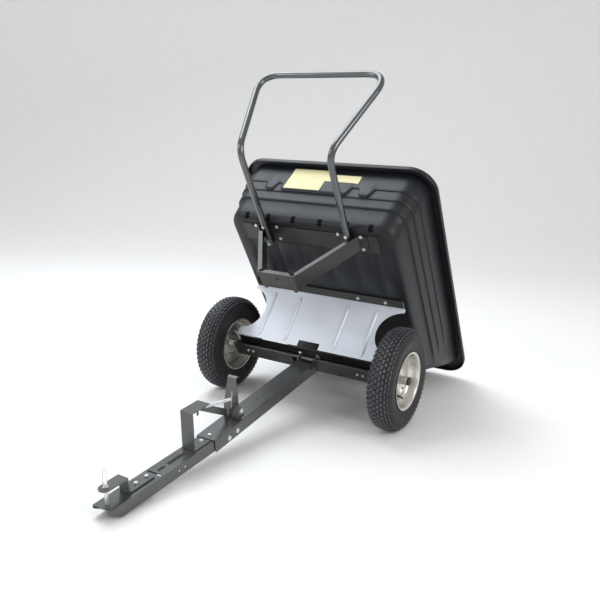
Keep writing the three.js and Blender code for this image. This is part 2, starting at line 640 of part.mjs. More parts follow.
// ---- bolts of the tub -------------------------------------------------------------------------
const inside = TUB.floor + TUB.wall;
bothSides((side, name) => {
  BOLT_ROWS.forEach((y, row) => {
    const [inner, outer] = BOLT_COLUMNS;
    const face = BRACKET.face;
    add(tubUnit, `bracket_bolt_${name}_${row + 1}`, bolt(inside - face), zinc, [side * inner, y, face]);
    const foot = face - GAP - SHEET;
    add(tubUnit, `brace_bolt_${name}_${row + 1}`, bolt(inside - foot), zinc, [side * outer, y, foot]);
  });
  HANDLE_BOLTS.forEach((y, i) => {
    const under = HANDLE.lowZ - HANDLE.radius;
    const place = [side * HANDLE.lowX, y, under];
    add(tubUnit, `handle_bolt_${name}_${i + 1}`, bolt(inside - under), zinc, place);
  });
  PANEL_BOLTS.forEach((x, i) => {
    const face = PANEL.top;
    const place = [side * x, STRIP.front + 20, face];
    add(tubUnit, `panel_bolt_${name}_${i + 1}`, bolt(inside - face), zinc, place);
  });
});

export default cart;
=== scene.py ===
"""Looks of the tow-behind cart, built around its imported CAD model.

Lengths are millimetres in three frames that share the axle as their origin: the tipped tub's,
and those of the tongue's rear and front channels. Each frame's matrix gives metres in the row frame.
"""

import json
import math

import bmesh
import bpy
from mathutils import Matrix, Vector


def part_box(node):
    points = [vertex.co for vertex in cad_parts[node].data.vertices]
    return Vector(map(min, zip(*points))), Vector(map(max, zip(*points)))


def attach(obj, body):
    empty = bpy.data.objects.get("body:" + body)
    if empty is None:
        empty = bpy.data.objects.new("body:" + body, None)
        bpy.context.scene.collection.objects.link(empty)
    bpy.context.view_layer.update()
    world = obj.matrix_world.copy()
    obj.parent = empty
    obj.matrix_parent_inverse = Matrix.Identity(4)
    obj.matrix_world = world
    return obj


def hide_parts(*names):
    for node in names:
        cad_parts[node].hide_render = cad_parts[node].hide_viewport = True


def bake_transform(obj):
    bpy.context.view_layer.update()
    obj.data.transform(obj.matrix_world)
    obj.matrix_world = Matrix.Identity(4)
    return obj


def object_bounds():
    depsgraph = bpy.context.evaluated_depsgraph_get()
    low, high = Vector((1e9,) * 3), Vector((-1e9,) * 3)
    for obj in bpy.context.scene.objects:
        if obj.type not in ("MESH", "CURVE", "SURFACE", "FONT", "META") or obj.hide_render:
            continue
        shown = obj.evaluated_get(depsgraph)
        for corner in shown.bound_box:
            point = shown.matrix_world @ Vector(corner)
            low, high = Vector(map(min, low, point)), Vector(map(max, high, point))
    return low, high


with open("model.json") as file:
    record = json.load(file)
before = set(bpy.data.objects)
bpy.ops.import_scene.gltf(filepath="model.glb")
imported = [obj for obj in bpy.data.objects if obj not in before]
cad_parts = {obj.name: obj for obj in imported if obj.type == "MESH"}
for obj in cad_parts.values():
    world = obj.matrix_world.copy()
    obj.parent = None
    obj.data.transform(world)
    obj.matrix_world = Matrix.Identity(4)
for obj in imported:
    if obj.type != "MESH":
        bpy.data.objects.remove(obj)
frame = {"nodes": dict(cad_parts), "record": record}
CAD_LOW, CAD_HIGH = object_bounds()
AXLE_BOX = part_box("axle")
AXLE = (AXLE_BOX[0] + AXLE_BOX[1]) / 2


def tilted(degrees):
    """Millimetres in a frame turned about the axle, to metres in the row frame."""
    turn = Matrix.Rotation(math.radians(degrees), 4, "X")
    return Matrix.Translation(AXLE) @ turn @ Matrix.Scale(0.001, 4)


TUB_FRAME = tilted(-55.84)
REAR_FRAME = tilted(9.55)
FRONT_FRAME = tilted(5.56)
LEVEL_FRAME = tilted(0)
FRONT_TOP = -51.65  # top of the front channel
HALF_TRACK = 395
HITCH_PIN = -1111
SIDES = (("left", -1), ("right", 1))


# ---- materials ------------------------------------------------------------------------------
def material(name, color, roughness, metallic=0.0, grain=900, bump=0.15, depth=0.0002,
             wear=0.12, blotch=9, specular=0.5, coat=0.0, coat_roughness=0.1):
    """A surface with slow blotches of colour, uneven gloss and a fine grain in relief."""
    made = bpy.data.materials.new(name)
    made.use_nodes = True
    nodes, links = made.node_tree.nodes, made.node_tree.links
    shader = nodes["Principled BSDF"]
    shader.inputs["Metallic"].default_value = metallic
    shader.inputs["Specular IOR Level"].default_value = specular
    shader.inputs["Coat Weight"].default_value = coat
    shader.inputs["Coat Roughness"].default_value = coat_roughness
    place = nodes.new("ShaderNodeTexCoord")

    def noise(scale, detail):
        node = nodes.new("ShaderNodeTexNoise")
        node.inputs["Scale"].default_value = scale
        node.inputs["Detail"].default_value = detail
        links.new(place.outputs["Object"], node.inputs["Vector"])
        return node.outputs["Fac"]

    slow, fine = noise(blotch, 5), noise(grain, 3)
    ramp = nodes.new("ShaderNodeValToRGB")
    ramp.color_ramp.elements[0].position = 0.3
    ramp.color_ramp.elements[0].color = (*[c * (1 - wear) for c in color], 1)
    ramp.color_ramp.elements[1].position = 0.7
    ramp.color_ramp.elements[1].color = (*[min(1, c * (1 + wear)) for c in color], 1)
    links.new(slow, ramp.inputs["Fac"])
    links.new(ramp.outputs["Color"], shader.inputs["Base Color"])
    gloss = nodes.new("ShaderNodeMapRange")
    gloss.inputs["To Min"].default_value = roughness * 0.85
    gloss.inputs["To Max"].default_value = min(1, roughness * 1.15)
    links.new(noise(blotch * 7, 4), gloss.inputs["Value"])
    links.new(gloss.outputs["Result"], shader.inputs["Roughness"])
    relief = nodes.new("ShaderNodeBump")
    relief.inputs["Strength"].default_value = bump
    relief.inputs["Distance"].default_value = depth
    links.new(fine, relief.inputs["Height"])
    links.new(relief.outputs["Normal"], shader.inputs["Normal"])
    return made


MATERIALS = {
    "tub_plastic": material("tub_plastic", (0.009, 0.0105, 0.0135), 0.42, grain=1400, bump=0.2,
                            wear=0.15, blotch=6, specular=0.36),
    "grey_paint": material("grey_paint", (0.105, 0.109, 0.108), 0.30, metallic=0.6, grain=1800,
                           bump=0.08, coat=0.2, coat_roughness=0.2),
    "silver_paint": material("silver_paint", (0.74, 0.79, 0.87), 0.36, metallic=0.3, grain=1700,
                             bump=0.06, wear=0.04, coat=0.2),
    "handle_paint": material("handle_paint", (0.125, 0.132, 0.138), 0.22, metallic=0.85, grain=1500,
                             bump=0.03, wear=0.06, coat=0.3),
    "zinc": material("zinc", (0.72, 0.73, 0.75), 0.28, metallic=0.6, grain=700, wear=0.1,
                     bump=0.05, blotch=60),
    "wheel_steel": material("wheel_steel", (0.62, 0.61, 0.57), 0.26, metallic=0.92, grain=500,
                            bump=0.05, wear=0.12, blotch=30),
    "tyre": material("tyre", (0.011, 0.011, 0.012), 0.55, grain=700, bump=0.2, wear=0.3, blotch=14,
                     specular=0.4),
    "bush_plastic": material("bush_plastic", (0.02, 0.02, 0.02), 0.5, grain=900),
    "valve_rubber": material("valve_rubber", (0.015, 0.015, 0.015), 0.65, grain=900),
}
LABEL = material("label_film", (0.80, 0.75, 0.44), 0.55, grain=300, bump=0.03, wear=0.03,
                 specular=0.3)
# A lighter copy of the tyre rubber for the tread blocks: painted highlight that sets the block tops
# off from the grooves.
PAINTED_HIGHLIGHT_TREAD = material("tread_painted_highlight", (0.060, 0.064, 0.074), 0.42, grain=600, bump=0.2, wear=0.35,
                 blotch=40)
# A darker copy of the grey paint: painted shade for the steel under the tub, which wears the same
# paint as the rest.
GREY_PAINTED_SHADE = material("grey_paint_painted_shade", (0.042, 0.041, 0.037), 0.36, metallic=0.45,
                        grain=1800, bump=0.08, wear=0.2, coat=0.1)


# ---- mesh building --------------------------------------------------------------------------
class Shape:
    """Corners and faces collected from several bodies, in the millimetres of one frame."""

    def __init__(self):
        self.corners = []
        self.faces = []

    def add(self, corners, faces, place=Matrix.Identity(4)):
        first = len(self.corners)
        self.corners += [place @ Vector(corner) for corner in corners]
        self.faces += [[first + i for i in face] for face in faces]
        return self


def make_piece(name, shape, place, body, slot, nodes=(), finish=None, sharp=32):
    """A mesh piece on a CAD body, smooth except over edges sharper than an angle."""
    mesh = bpy.data.meshes.new(name)
    mesh.from_pydata([place @ corner for corner in shape.corners], [], shape.faces)
    mesh.validate()
    work = bmesh.new()
    work.from_mesh(mesh)
    bmesh.ops.recalc_face_normals(work, faces=work.faces)
    work.to_mesh(mesh)
    work.free()
    return show(name, mesh, body, slot, nodes, finish, sharp)


def show(name, mesh, body, slot, nodes=(), finish=None, sharp=32):
    mesh.polygons.foreach_set("use_smooth", [True] * len(mesh.polygons))
    mesh.set_sharp_from_angle(angle=math.radians(sharp))
    mesh.materials.clear()
    mesh.materials.append(finish or MATERIALS[slot])
    piece = bpy.data.objects.new(name, mesh)
    bpy.context.scene.collection.objects.link(piece)
    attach(piece, body)
    if nodes:
        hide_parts(*nodes)
    return piece


def loft(rings, closed=False):
    """Faces through a chain of rings; open chains get a flat cap at each end."""
    count = len(rings[0])
    faces = []
    rows = len(rings) if closed else len(rings) - 1
    for row in range(rows):
        a, b = row * count, (row + 1) % len(rings) * count
        faces += [[a + i, a + (i + 1) % count, b + (i + 1) % count, b + i] for i in range(count)]
    if not closed:
        last = (len(rings) - 1) * count
        faces += [list(range(count))[::-1], list(range(last, last + count))]
    return [corner for ring in rings for corner in ring], faces


def turned(profile, steps=72):
    """A closed profile of (along, radius) turned about the X axis."""
    rings = []
    for i in range(steps):
        angle = 2 * math.pi * i / steps
        rings.append([(x, r * math.cos(angle), r * math.sin(angle)) for x, r in profile])
    return loft(rings, closed=True)


def thick_line(line, thickness):
    """The closed outline of a sheet whose one face is a smooth line of (along, radius)."""
    points = [Vector(point) for point in line]
    other = []
    for i, point in enumerate(points):
        along = (points[min(i + 1, len(points) - 1)] - points[max(i - 1, 0)]).normalized()
        other.append(point + Vector((-along.y, along.x)) * thickness)
    return [tuple(point) for point in points + other[::-1]]


def softened(points, bend, steps=6):
    """A line with its corners rounded off."""
    points = [Vector(point) for point in points]
    line = [points[0]]
    for before, corner, after in zip(points, points[1:], points[2:]):
        back, ahead = before - corner, after - corner
        turn = math.pi - back.angle(ahead)
        cut = min(bend * math.tan(turn / 2), back.length * 0.48, ahead.length * 0.48)
        start, end = corner + back.normalized() * cut, corner + ahead.normalized() * cut
        for i in range(steps + 1):
            t = i / steps
            line.append(start * (1 - t) ** 2 + corner * 2 * t * (1 - t) + end * t * t)
    return line + [points[-1]]


def swept(line, radius, sides=20, squeeze=lambda i: (1, 1)):
    """A round bar along a line; squeeze gives each ring's width and height as shares of round."""
    line = [Vector(point) for point in line]
    across = (line[1] - line[0]).orthogonal().normalized()
    rings = []
    for i, point in enumerate(line):
        along = (line[min(i + 1, len(line) - 1)] - line[max(i - 1, 0)]).normalized()
        across = (across - along * across.dot(along)).normalized()
        upward = along.cross(across)
        wide, high = squeeze(i)
        ring = []
        for k in range(sides):
            angle = 2 * math.pi * k / sides
            offset = across * math.cos(angle) * wide + upward * math.sin(angle) * high
            ring.append(point + offset * radius)
        rings.append(ring)
    return loft(rings)


def coil_line(start, end, radius, turns, per_turn=14):
    start, end = Vector(start), Vector(end)
    along = (end - start).normalized()
    across = along.orthogonal().normalized()
    upward = along.cross(across)
    steps = turns * per_turn
    return [
        start.lerp(end, i / steps)
        + (across * math.cos(2 * math.pi * i / per_turn)
           + upward * math.sin(2 * math.pi * i / per_turn)) * radius
        for i in range(steps + 1)
    ]


def block(low, high, chamfer):
    """A box with chamfered edges on its +Z side."""
    (x0, y0, z0), (x1, y1, z1) = low, high
    c = chamfer
    rings = [
        [(x0, y0, z0), (x1, y0, z0), (x1, y1, z0), (x0, y1, z0)],
        [(x0, y0, z1 - c), (x1, y0, z1 - c), (x1, y1, z1 - c), (x0, y1, z1 - c)],
        [(x0 + c, y0 + c, z1), (x1 - c, y0 + c, z1), (x1 - c, y1 - c, z1), (x0 + c, y1 - c, z1)],
    ]
    return loft(rings)


# ---- steel pieces with rounded edges ----------------------------------------------------------
# Steel under the tub, which gets the darker copy of the grey paint as painted shade.
SHADE_PAINTED_UNDER_TUB = ("axle_beam", "rear_cross_strip", "tub_front_bracket", "v_brace", "axle_bracket_left",
             "axle_bracket_right")


BEND_RADIUS, SHEARED_RADIUS = 0.0024, 0.0007  # metres, as the CAD meshes are
BROAD, LONG = 0.009, 0.03  # least width of a broad face and length of a fold
SAME_PLANE, SHARP_EDGE = math.radians(1), math.radians(30)
FOLDED = ("tongue_rear_channel", "tongue_front_channel")


def is_bend(edge):
    """An outer fold between two broad faces, as opposed to a sheared edge of the sheet."""
    length = edge.calc_length()
    return length > LONG and edge.is_convex and all(
        face.calc_area() / length > BROAD for face in edge.link_faces)


def bevel(work, radius, segments, wanted):
    edges = [
        edge for edge in work.edges
        if len(edge.link_faces) == 2 and edge.calc_face_angle() > SHARP_EDGE and wanted(edge)
    ]
    bmesh.ops.bevel(
        work, geom=edges, offset=radius, segments=segments, profile=0.5, affect="EDGES",
        clamp_overlap=True)


def rounded_steel(node, body, slot):
    """A CAD solid's shape with its folds and sheared edges rounded."""
    work = bmesh.new()
    work.from_mesh(frame["nodes"][node].data)
    bmesh.ops.remove_doubles(work, verts=work.verts, dist=0.00002)
    bmesh.ops.dissolve_limit(work, angle_limit=SAME_PLANE, verts=work.verts, edges=work.edges)
    if node in FOLDED:
        bevel(work, BEND_RADIUS, 4, is_bend)
    bevel(work, SHEARED_RADIUS, 2, lambda edge: True)
    mesh = bpy.data.meshes.new(node)
    work.to_mesh(mesh)
    work.free()
    # The pieces under the tub get painted shade: a darker copy of their grey paint.
    finish = GREY_PAINTED_SHADE if node in SHADE_PAINTED_UNDER_TUB else None
    piece = show(node + "_steel", mesh, body, slot, (node,), finish, sharp=70)
    flat = piece.modifiers.new("flat_faces", "WEIGHTED_NORMAL")
    flat.keep_sharp = True
    flat.weight = 100


# ---- bolts ------------------------------------------------------------------------------------
HEAD_HEIGHT, THREAD_PROUD, WASHER, PITCH = 3.6, 0.6, 0.8, 0.8


def hexagon(radius, z, turn=0.0):
    corners = [math.radians(60 * i + turn) for i in range(6)]
    return [(radius * math.cos(a), radius * math.sin(a), z) for a in corners]


def disc(radius, z, steps=24):
    return [
        (radius * math.cos(2 * math.pi * i / steps), radius * math.sin(2 * math.pi * i / steps), z)
        for i in range(steps)
    ]


def hex_prism(shape, radius, low, high, place, turn=0.0):
    cap = radius * 0.9
    rings = [hexagon(cap, low, turn), hexagon(radius, low + 0.6, turn),
             hexagon(radius, high - 0.6, turn), hexagon(cap, high, turn)]
    shape.add(*loft(rings), place)


def detailed_bolt(node, body, axis, turn):
    """Chamfered head, washers, shank with thread ridges and nut, in the place of a CAD bolt."""
    corners = [vertex.co.copy() for vertex in frame["nodes"][node].data.vertices]
    middle = sum(corners, Vector()) / len(corners)
    axis = axis.normalized()
    along = [(corner - middle).dot(axis) for corner in corners]
    low, high = min(along) * 1000, max(along) * 1000
    head = 1000 * max(
        (corner - middle - axis * reach).length for corner, reach in zip(corners, along))
    shank = (head - 0.6) / 2
    rotation = axis.to_track_quat("Z", "Y").to_matrix().to_4x4()
    place = Matrix.Translation(middle * 1000) @ rotation
    nut_top = high - THREAD_PROUD
    nut_base = nut_top - HEAD_HEIGHT
    shape = Shape()
    hex_prism(shape, head, low, low + HEAD_HEIGHT, place, turn)
    hex_prism(shape, head, nut_base, nut_top, place, turn + 17)
    for start in (low + HEAD_HEIGHT - 0.1, nut_base - WASHER):
        wide = head * 1.04
        rings = [disc(head * 0.98, start), disc(wide, start + 0.25), disc(wide, start + 0.75)]
        shape.add(*loft(rings), place)
    thread = [disc(shank, low + 3)]
    z = high - 4.5
    while z < high - THREAD_PROUD / 2:
        thread += [disc(shank, z), disc(shank * 0.88, z + PITCH / 2)]
        z += PITCH
    shape.add(*loft(thread), place)
    make_piece(node + "_zinc", shape, Matrix.Scale(0.001, 4), body, "zinc", (node,), sharp=25)


# ---- tub --------------------------------------------------------------------------------------
# Outside of the wall from the floor up: height, half width, front face, and whether the level
# dips in the front wall's notches.
LEVELS = (
    (249.6, 344, -494, False), (250.4, 350, -500, False), (253, 357, -507, False),
    (257.5, 362, -512.3, False), (264, 365.4, -516.3, False), (272, 367.6, -519.2, False),
    (300, 370.5, -524, False), (337, 374, -529, False), (339.5, 375, -530, False),
    (341.5, 380, -535, False), (344, 382, -537, False), (350, 383, -538, False),
    (382, 385.5, -541.5, False), (384.5, 386, -542, False), (386.5, 390, -546, False),
    (389, 391, -547, False), (396, 392, -548, False), (428, 394.5, -551, True),
    (430.5, 395, -551.5, True), (432.5, 398.5, -555, True), (435, 399.5, -556, True),
    (442, 400.5, -557, True), (480, 402, -561, False), (534, 403, -566, False),
)
TUB_FLOOR, TUB_RIM = 249.6, 541.0
RIM_HALF, RIM_FRONT, RIM_REAR = 434, -594, 557
CHANNELS = (-275, -175, -60, 60, 175, 275)  # middles of the floor's channels
CHANNEL_HALF, PAD_EDGE = 10, 340
NOTCH_DEPTH = 39.2
NOTCHES = ((-233, 20), (-30, 150), (193, 24))  # middle and half width of each
CORNER_STEPS, STRAIGHT_STEPS, FRONT_STEPS = 10, 26, 110


def between(value, low, high):
    return min(1.0, max(0.0, (value - low) / (high - low)))


def notch(x):
    """How far the upper ledge comes down towards the middle one at a place on the front."""
    shares = [1 - between(abs(x - middle), half - 4, half + 10) for middle, half in NOTCHES]
    return NOTCH_DEPTH * max(0, *shares)


def outline(half, front, rear, radius):
    """Points of a rounded rectangle: (x, y, on the front), starting at the rear right corner."""
    x = half - radius
    centres = ((x, rear - radius, 0), (-x, rear - radius, 90), (-x, front + radius, 180),
               (x, front + radius, 270))
    runs = (STRAIGHT_STEPS, STRAIGHT_STEPS, FRONT_STEPS, STRAIGHT_STEPS)
    points = []
    for k, (cx, cy, start) in enumerate(centres):
        for i in range(CORNER_STEPS + 1):
            angle = math.radians(start + 90 * i / CORNER_STEPS)
            points.append((cx + radius * math.cos(angle), cy + radius * math.sin(angle), False))
        nx, ny, begin = centres[(k + 1) % 4]
        angle = math.radians(begin)
        last = (nx + radius * math.cos(angle), ny + radius * math.sin(angle))
        first = points[-1]
        for i in range(1, runs[k]):
            t = i / runs[k]
            points.append((first[0] + (last[0] - first[0]) * t, first[1] + (last[1] - first[1]) * t,
                           k == 2))
    return points


def wall_ring(level, inset=0.0, lift=0.0):
    """The wall's outline at a level, which narrows towards the rear, moved inwards and up."""
    z, half, front, dips = level
    rise = between(z, TUB_FLOOR, TUB_RIM)
    plain = 366 + 37 * rise
    rear = 272 + 256 * rise
    radius = 62 + 20 * rise
    ring = []
    for x, y, on_front in outline(half - inset, front + inset, rear - 1.3 * inset, radius - inset):
        height = z + lift
        if on_front and dips:
            height -= notch(x)
        fade = between(y, 210, 300)
        pull = 1 + (plain / half - 1) * fade if z > 262 else 1
        ring.append((x * pull, y, height))
    return ring


def rim_ring(z, inset, radius=105):
    ring = outline(RIM_HALF - inset, RIM_FRONT + inset, RIM_REAR - inset, radius - inset)
    return [(x, y, z) for x, y, _ in ring]


def front_wall(x, z):
    """The front wall's face at a place, following the notches."""
    last = LEVELS[0]
    for level in LEVELS:
        height = level[0] - (notch(x) if level[3] else 0)
        last_height = last[0] - (notch(x) if last[3] else 0)
        if height >= z:
            t = between(z, last_height, max(height, last_height + 0.01))
            return last[2] + (level[2] - last[2]) * t
        last = level
    return last[2]


def tub():
    wall = 4.5
    shape = Shape()
    outside = [wall_ring(level) for level in LEVELS]
    lip = [rim_ring(534, 24), rim_ring(535.4, 12), rim_ring(535, 7), rim_ring(532, 5),
           rim_ring(519, 4.4), rim_ring(517.2, 3.2), rim_ring(517.2, 1.2), rim_ring(519, 0),
           rim_ring(534, 0), rim_ring(537.5, 1), rim_ring(540, 3.4), rim_ring(541, 7),
           rim_ring(541, 16)]
    mouth = [wall_ring((TUB_RIM, 404, -567, False), inset) for inset in (-2, 1.5)]
    inside = [wall_ring(level, wall) for level in reversed(LEVELS[5:])]
    base = [wall_ring(LEVELS[3], wall, 3), wall_ring(LEVELS[1], wall, 4.2)]
    shape.add(*loft(outside + lip + mouth + inside + base))
    # Moulded pads of the floor; the channels between them run from front to rear.
    sides = [-PAD_EDGE]
    for x in CHANNELS:
        sides += [x - CHANNEL_HALF, x + CHANNEL_HALF]
    sides.append(PAD_EDGE)
    for left, right in zip(sides[::2], sides[1::2]):
        rings = []
        for z, inset in ((252, 0), (249.9, 0.4), (248.2, 3)):
            x0, x1 = left + inset, right - inset
            front, rear = -396 + inset, -172 - inset
            rings.append([(x0, front, z), (x1, front, z), (x1, rear, z), (x0, rear, z)])
        shape.add(*loft(rings))
    make_piece("tub_moulding", shape, TUB_FRAME, "tub_unit", "tub_plastic", ("tub",), sharp=38)


def film(shape, x0, x1, z0, z1, proud, back):
    """A thin sheet that follows the front wall, from proud of it to a little behind its face."""
    columns, rows = 26, 14
    corners = []
    for skin in (back, proud):
        for j in range(rows + 1):
            z = z0 + (z1 - z0) * j / rows
            for i in range(columns + 1):
                x = x0 + (x1 - x0) * i / columns
                corners.append((x, front_wall(x, z) - skin, z))
    width = columns + 1
    upper = width * (rows + 1)
    faces = []
    for j in range(rows):
        for i in range(columns):
            a = j * width + i
            quad = [a, a + 1, a + 1 + width, a + width]
            faces += [quad[::-1], [upper + k for k in quad]]
    edge = list(range(width)) + [width * (j + 1) - 1 for j in range(1, rows + 1)]
    edge += [width * rows + i for i in range(columns - 1, -1, -1)]
    edge += [width * j for j in range(rows - 1, 0, -1)]
    faces += [[a, b, b + upper, a + upper] for a, b in zip(edge, edge[1:] + edge[:1])]
    shape.add(corners, faces)


def channel_ends():
    """Near-black film sheets on the foot of the front wall at the ends of the floor channels: painted
    shade standing in for the recessed slots.
    """
    shape = Shape()
    for x in CHANNELS:
        film(shape, x - 9.5, x + 9.5, 249.7, 272, 0.35, -1.5)
    # Near-black film: painted shade where the channels are recessed.
    dark = material("channel_shadow", (0.003, 0.003, 0.0035), 0.8, grain=900, specular=0.1)
    make_piece("tub_channel_end_shade", shape, TUB_FRAME, "tub_unit", "tub_plastic", finish=dark)


def label():
    """A blank film on the front wall: a tall block and a narrower strip beside it."""
    shape = Shape()
    film(shape, -167, -2, 398, 516, 1.0, 0.3)
    film(shape, -4, 145, 455, 495, 0.9, 0.3)
    make_piece("tub_label", shape, TUB_FRAME, "tub_unit", "tub_plastic", finish=LABEL)


# ---- handle -----------------------------------------------------------------------------------
def handle():
    half = [(184, -396, 233.6), (184, -420, 233.6), (184, -470, 233.6), (184, -505, 233.6),
            (188, -831, 249), (278, -923.5, 623)]
    whole = [(-x, y, z) for x, y, z in half] + half[::-1]
    line = softened(whole, 75, 14)
    shape = Shape()
    shape.add(*swept(line, 12.5, 28))
    make_piece("push_handle_tube", shape, TUB_FRAME, "tub_unit", "handle_paint", ("push_handle",))


# ---- pressed ribs of the silver panel -----------------------------------------------------------
def panel_ribs():
    top, bottom, top_y, bottom_y = 243.2, 13, -127, -55
    up = Vector((0, top_y - bottom_y, top - bottom)).normalized()
    out = Vector((0, -up.z, up.y))
    shape = Shape()
    for x in (-241, -114, 114, 241):
        start = Vector((x, bottom_y, bottom)) + up * 8 + out * 2.4
        end = start + up * 212
        steps = 30
        line = [start.lerp(end, i / steps) for i in range(steps + 1)]

        def tapered(i):
            near = min(i, steps - i) / 3
            share = math.sin(min(1, near) * math.pi / 2) + 0.02
            return share, share

        shape.add(*swept(line, 5.6, 14, tapered))
    make_piece("panel_ribs", shape, TUB_FRAME, "tub_unit", "silver_paint")


def beam_nuts():
    """Small nuts under the axle beam, near its ends."""
    shape = Shape()
    for x in (-269, -245, 245, 269):
        spot = Matrix.Translation((x, -23, 0))
        hex_prism(shape, 5.6, -41.6, -37, spot, 10)
        shape.add(*loft([disc(2.6, -43.2), disc(3, -42.6), disc(3, -36.5)]), spot)
    make_piece("beam_nuts", shape, TUB_FRAME, "tub_unit", "zinc", sharp=25)


# ---- wheels -----------------------------------------------------------------------------------
CROWN = ((0, 196.5), (14, 195.6), (26, 192.4), (36, 186.4), (42, 179), (45.5, 171))
BLOCK_ROWS = (-45, -32.5, -20, -6.7, 6.7, 20, 32.5, 45)  # distances around the crown
BLOCKS_PER_ROW = 58
RIM_BOLT_CIRCLE = 70


def on_crown(across):
    """Place and outward slope of the tread's base at a distance around its section."""
    sign = 1 if across >= 0 else -1
    rest = abs(across)
    for (x0, r0), (x1, r1) in zip(CROWN, CROWN[1:]):
        length = math.hypot(x1 - x0, r1 - r0)
        if rest <= length:
            t = rest / length
            lean = math.atan2(x0 - x1, r1 - r0) + math.pi / 2
            return sign * (x0 + (x1 - x0) * t), r0 + (r1 - r0) * t, sign * -lean
        rest -= length
    return sign * CROWN[-1][0], CROWN[-1][1], 0


def tyre(name, side):
    wall = [(37.5, 105.7), (38.8, 110), (42, 116), (44.6, 126), (46.6, 140), (47.6, 153)]
    rib = [(48, 154), (48, 156), (47.5, 157), (47.4, 163)]
    half = wall + rib + list(CROWN[::-1])
    outside = half + [(-x, r) for x, r in half[-2::-1]]
    inside = [(-30, 105), (-38, 150), (-36, 176), (0, 190), (36, 176), (38, 150), (30, 105)]
    shape = Shape()
    shape.add(*turned(outside + inside, 96))
    blocks = Shape()
    for k, across in enumerate(BLOCK_ROWS):
        x, radius, lean = on_crown(across)
        odd = k % 2
        half_length = 6.6 if odd else 7.6
        slant = math.radians(14 if odd else -14)
        for i in range(BLOCKS_PER_ROW):
            angle = 2 * math.pi * (i + 0.5 * odd) / BLOCKS_PER_ROW
            place = (
                Matrix.Rotation(angle, 4, "X") @ Matrix.Translation((x, 0, radius - 0.8))
                @ Matrix.Rotation(-lean, 4, "Y") @ Matrix.Rotation(slant, 4, "Z"))
            blocks.add(*block((-4.5, -half_length, 0), (4.5, half_length, 4.1), 1.2), place)
    place = wheel_place(side)
    make_piece(f"tyre_casing_{name}", shape, place, f"wheel_{name}", "tyre", (f"tyre_{name}",))
    # The tread blocks wear the lighter copy of the rubber, a painted highlight.
    make_piece(f"tread_painted_highlight_{name}", blocks, place, f"wheel_{name}", "tyre", finish=PAINTED_HIGHLIGHT_TREAD)


def wheel_place(side):
    turn = Matrix.Rotation(math.pi if side < 0 else 0, 4, "Z")
    return LEVEL_FRAME @ Matrix.Translation((side * HALF_TRACK, 0, 0)) @ turn


def rim(name, side):
    """Both pressed halves, the bolts that hold them together, the hub tube and the valve."""
    place = wheel_place(side)
    lip = [(42.6, 113.2), (42.4, 110.5), (41, 106.8), (38, 104.6)]
    well = [(30, 103.2), (18, 101), (12, 99), (6, 95), (2.6, 90)]
    disc_line = [(1.6, 84), (1.6, 58), (2.6, 52), (5.4, 46), (8.4, 41), (9, 36), (9, 17)]
    pressing = thick_line(lip + well + disc_line, 2.4)
    for which, turn in (("outer", 0), ("inner", math.pi)):
        shape = Shape()
        shape.add(*turned(pressing, 96), Matrix.Rotation(turn, 4, "Z"))
        if which == "outer":
            for i in range(4):
                spot = (Matrix.Rotation(math.radians(45 + 90 * i), 4, "X")
                        @ Matrix.Translation((0, 0, RIM_BOLT_CIRCLE))
                        @ Matrix.Rotation(math.pi / 2, 4, "Y"))
                hex_prism(shape, 6.6, 4.2, 8.6, spot)
                hex_prism(shape, 6.6, -8.6, -4.2, spot, 20)
                shape.add(*loft([disc(3, -10.5), disc(3, 10.5)]), spot)
        make_piece(f"rim_{which}_pressing_{name}", shape, place, f"wheel_{name}", "wheel_steel",
                   (f"rim_{which}_{name}",), sharp=28)
    hub = Shape()
    hub.add(*turned([(-38, 13), (40, 13), (40, 15.8), (39.2, 16.6), (-37.2, 16.6), (-38, 15.8)], 48))
    make_piece(f"hub_tube_steel_{name}", hub, place, f"wheel_{name}", "wheel_steel",
               (f"hub_tube_{name}",))
    stem = Shape()
    axis = [(5.4, 0, -66), (12, 0, -68), (20, 0, -70.2), (26, 0, -72)]
    shares = (1.25, 1.05, 0.9, 1.0)
    stem.add(*swept(axis, 3.4, 18, lambda i: (shares[i], shares[i])))
    make_piece(f"valve_{name}", stem, place, f"wheel_{name}", "valve_rubber",
               (f"valve_stem_{name}",))


# ---- hitch pin, clip and latch spring -----------------------------------------------------------
def hitch():
    top = FRONT_TOP + 55.3
    profile = [(0, -75.6), (3, -75.6), (4.4, -74.6), (6.2, -71.4), (6.2, top + 0.3), (8.4, top + 0.4),
               (9, top + 1), (9, top + 2.6), (8.4, top + 3.1), (6, top + 4), (6, top + 14),
               (5.4, top + 15.2), (4, top + 16), (0, top + 16)]
    rings = [disc(max(r, 0.01), z, 28) for r, z in profile]
    pin = Shape()
    pin.add(*loft(rings), Matrix.Translation((0, HITCH_PIN, 0)))
    make_piece("hitch_pin_turned", pin, FRONT_FRAME, "hitch_pin", "zinc", ("hitch_pin",), sharp=30)
    clip_line = [(9, 0, 0), (-10, 0, 0), (-8, 0, 28), (-5, 0, 48), (5, 0, 48), (6, 0, 30), (7, 0, 8)]
    clip = Shape()
    clip.add(*swept(softened(clip_line, 6, 8), 1.5, 12), Matrix.Translation((0, HITCH_PIN, top + 9)))
    make_piece("hitch_clip_wire", clip, FRONT_FRAME, "pin_clip", "zinc", ("hitch_pin_clip",))


